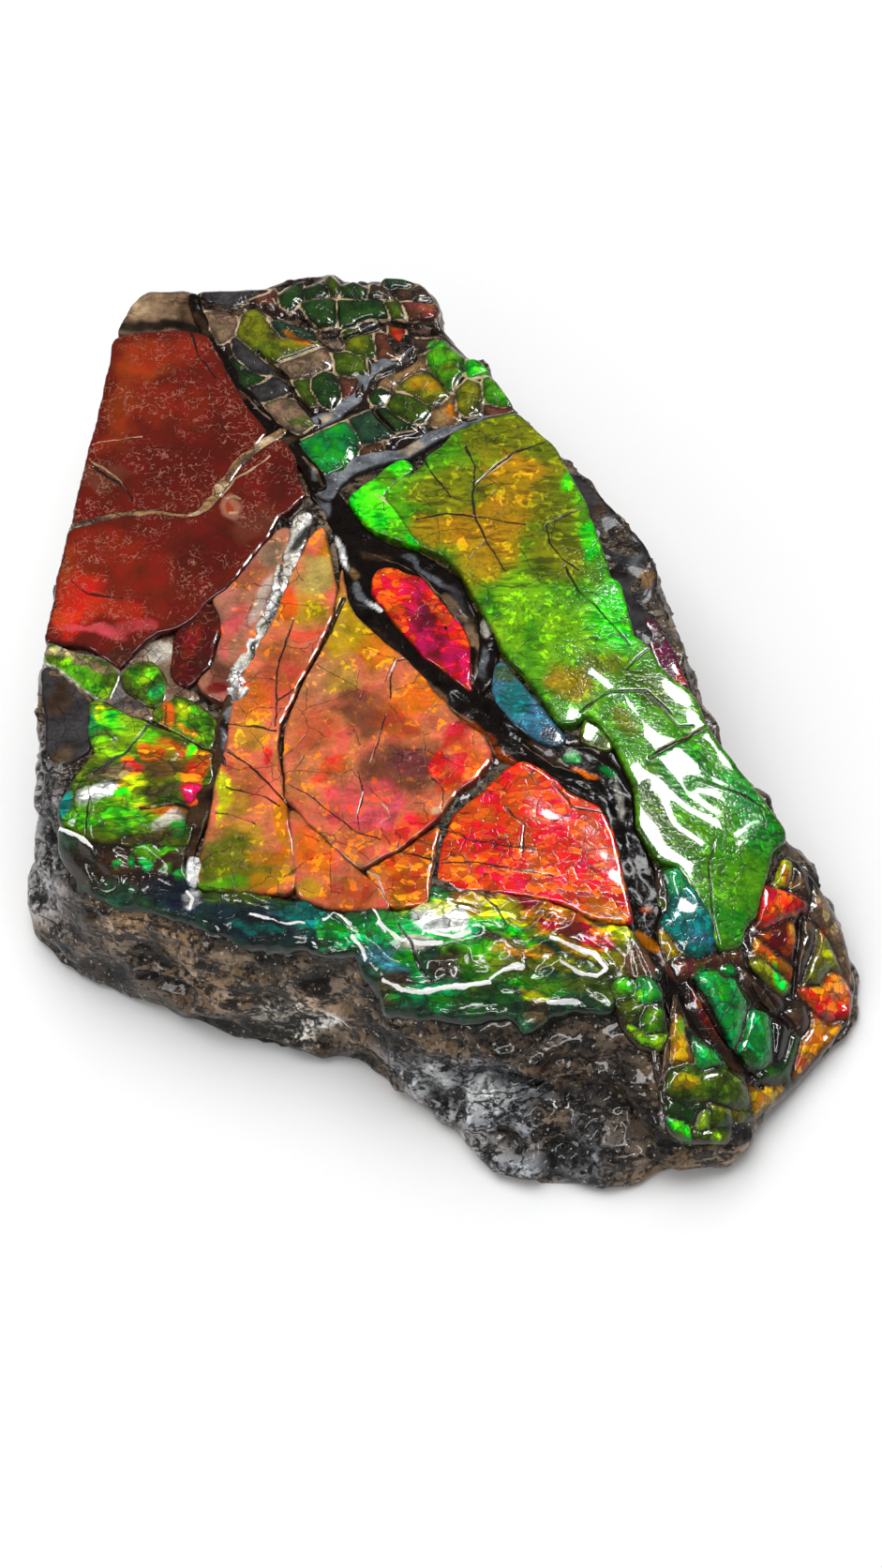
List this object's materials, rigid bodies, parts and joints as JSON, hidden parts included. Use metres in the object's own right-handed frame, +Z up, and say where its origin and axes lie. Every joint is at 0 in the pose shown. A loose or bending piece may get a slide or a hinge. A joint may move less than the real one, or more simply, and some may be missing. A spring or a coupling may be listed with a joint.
{
  "type": "ammolite specimen",
  "caption": "Loose slab of dark mudstone with a cracked, iridescent ammonite shell on its upper face, lying on a flat underside.",
  "frame": {"origin": "centre of the slab's flat underside, below the middle of its width and length", "axes": "+Z up, out of the shell face; +Y towards the narrow back end; +X towards the thin right-hand end"},
  "size_m": [0.132, 0.1538, 0.0329],
  "materials": {
    "ammolite_stone": "varnished mudstone with glossy iridescent shell"
  },
  "bodies": {
    "root": {"ammolite_specimen": "ammolite_stone"}
  },
  "joints": []
}
